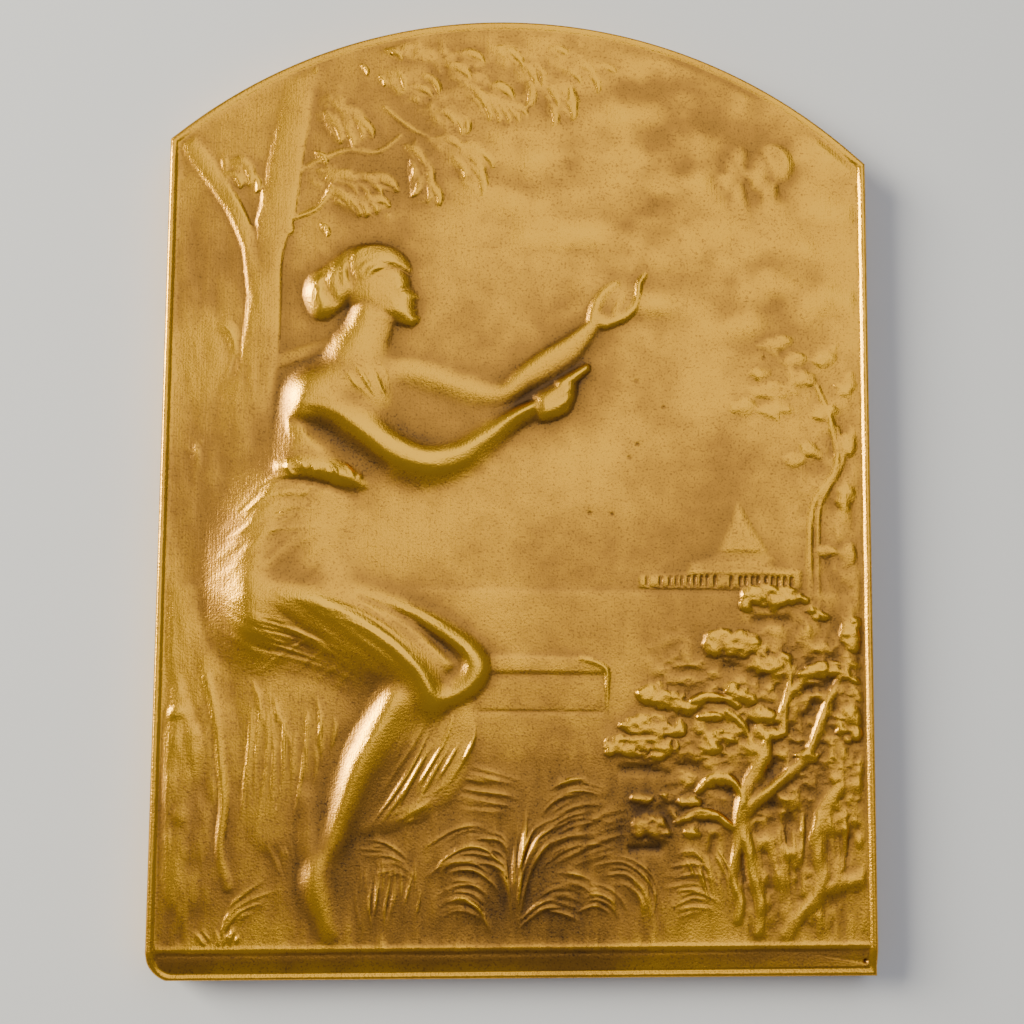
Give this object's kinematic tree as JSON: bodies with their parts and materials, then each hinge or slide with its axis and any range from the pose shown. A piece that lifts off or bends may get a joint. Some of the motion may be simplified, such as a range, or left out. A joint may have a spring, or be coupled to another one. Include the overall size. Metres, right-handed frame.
{
  "type": "relief plaquette",
  "caption": "Small struck bronze plaquette with an arched head, in low relief: a seated woman in loose drapery reaches up beside a tree towards heads in the clouds.",
  "frame": {"origin": "centre of the bounding box's underside; the plaquette lies on its back, picture up", "axes": "+X to the picture's right, +Y up the picture, +Z out of the picture"},
  "size_m": [0.0518, 0.07, 0.0038],
  "materials": {
    "gilt_bronze": "satin, fine sandblasted grain, dark patina in the recesses"
  },
  "bodies": {
    "root": {"plaquette": "gilt_bronze"}
  },
  "joints": []
}
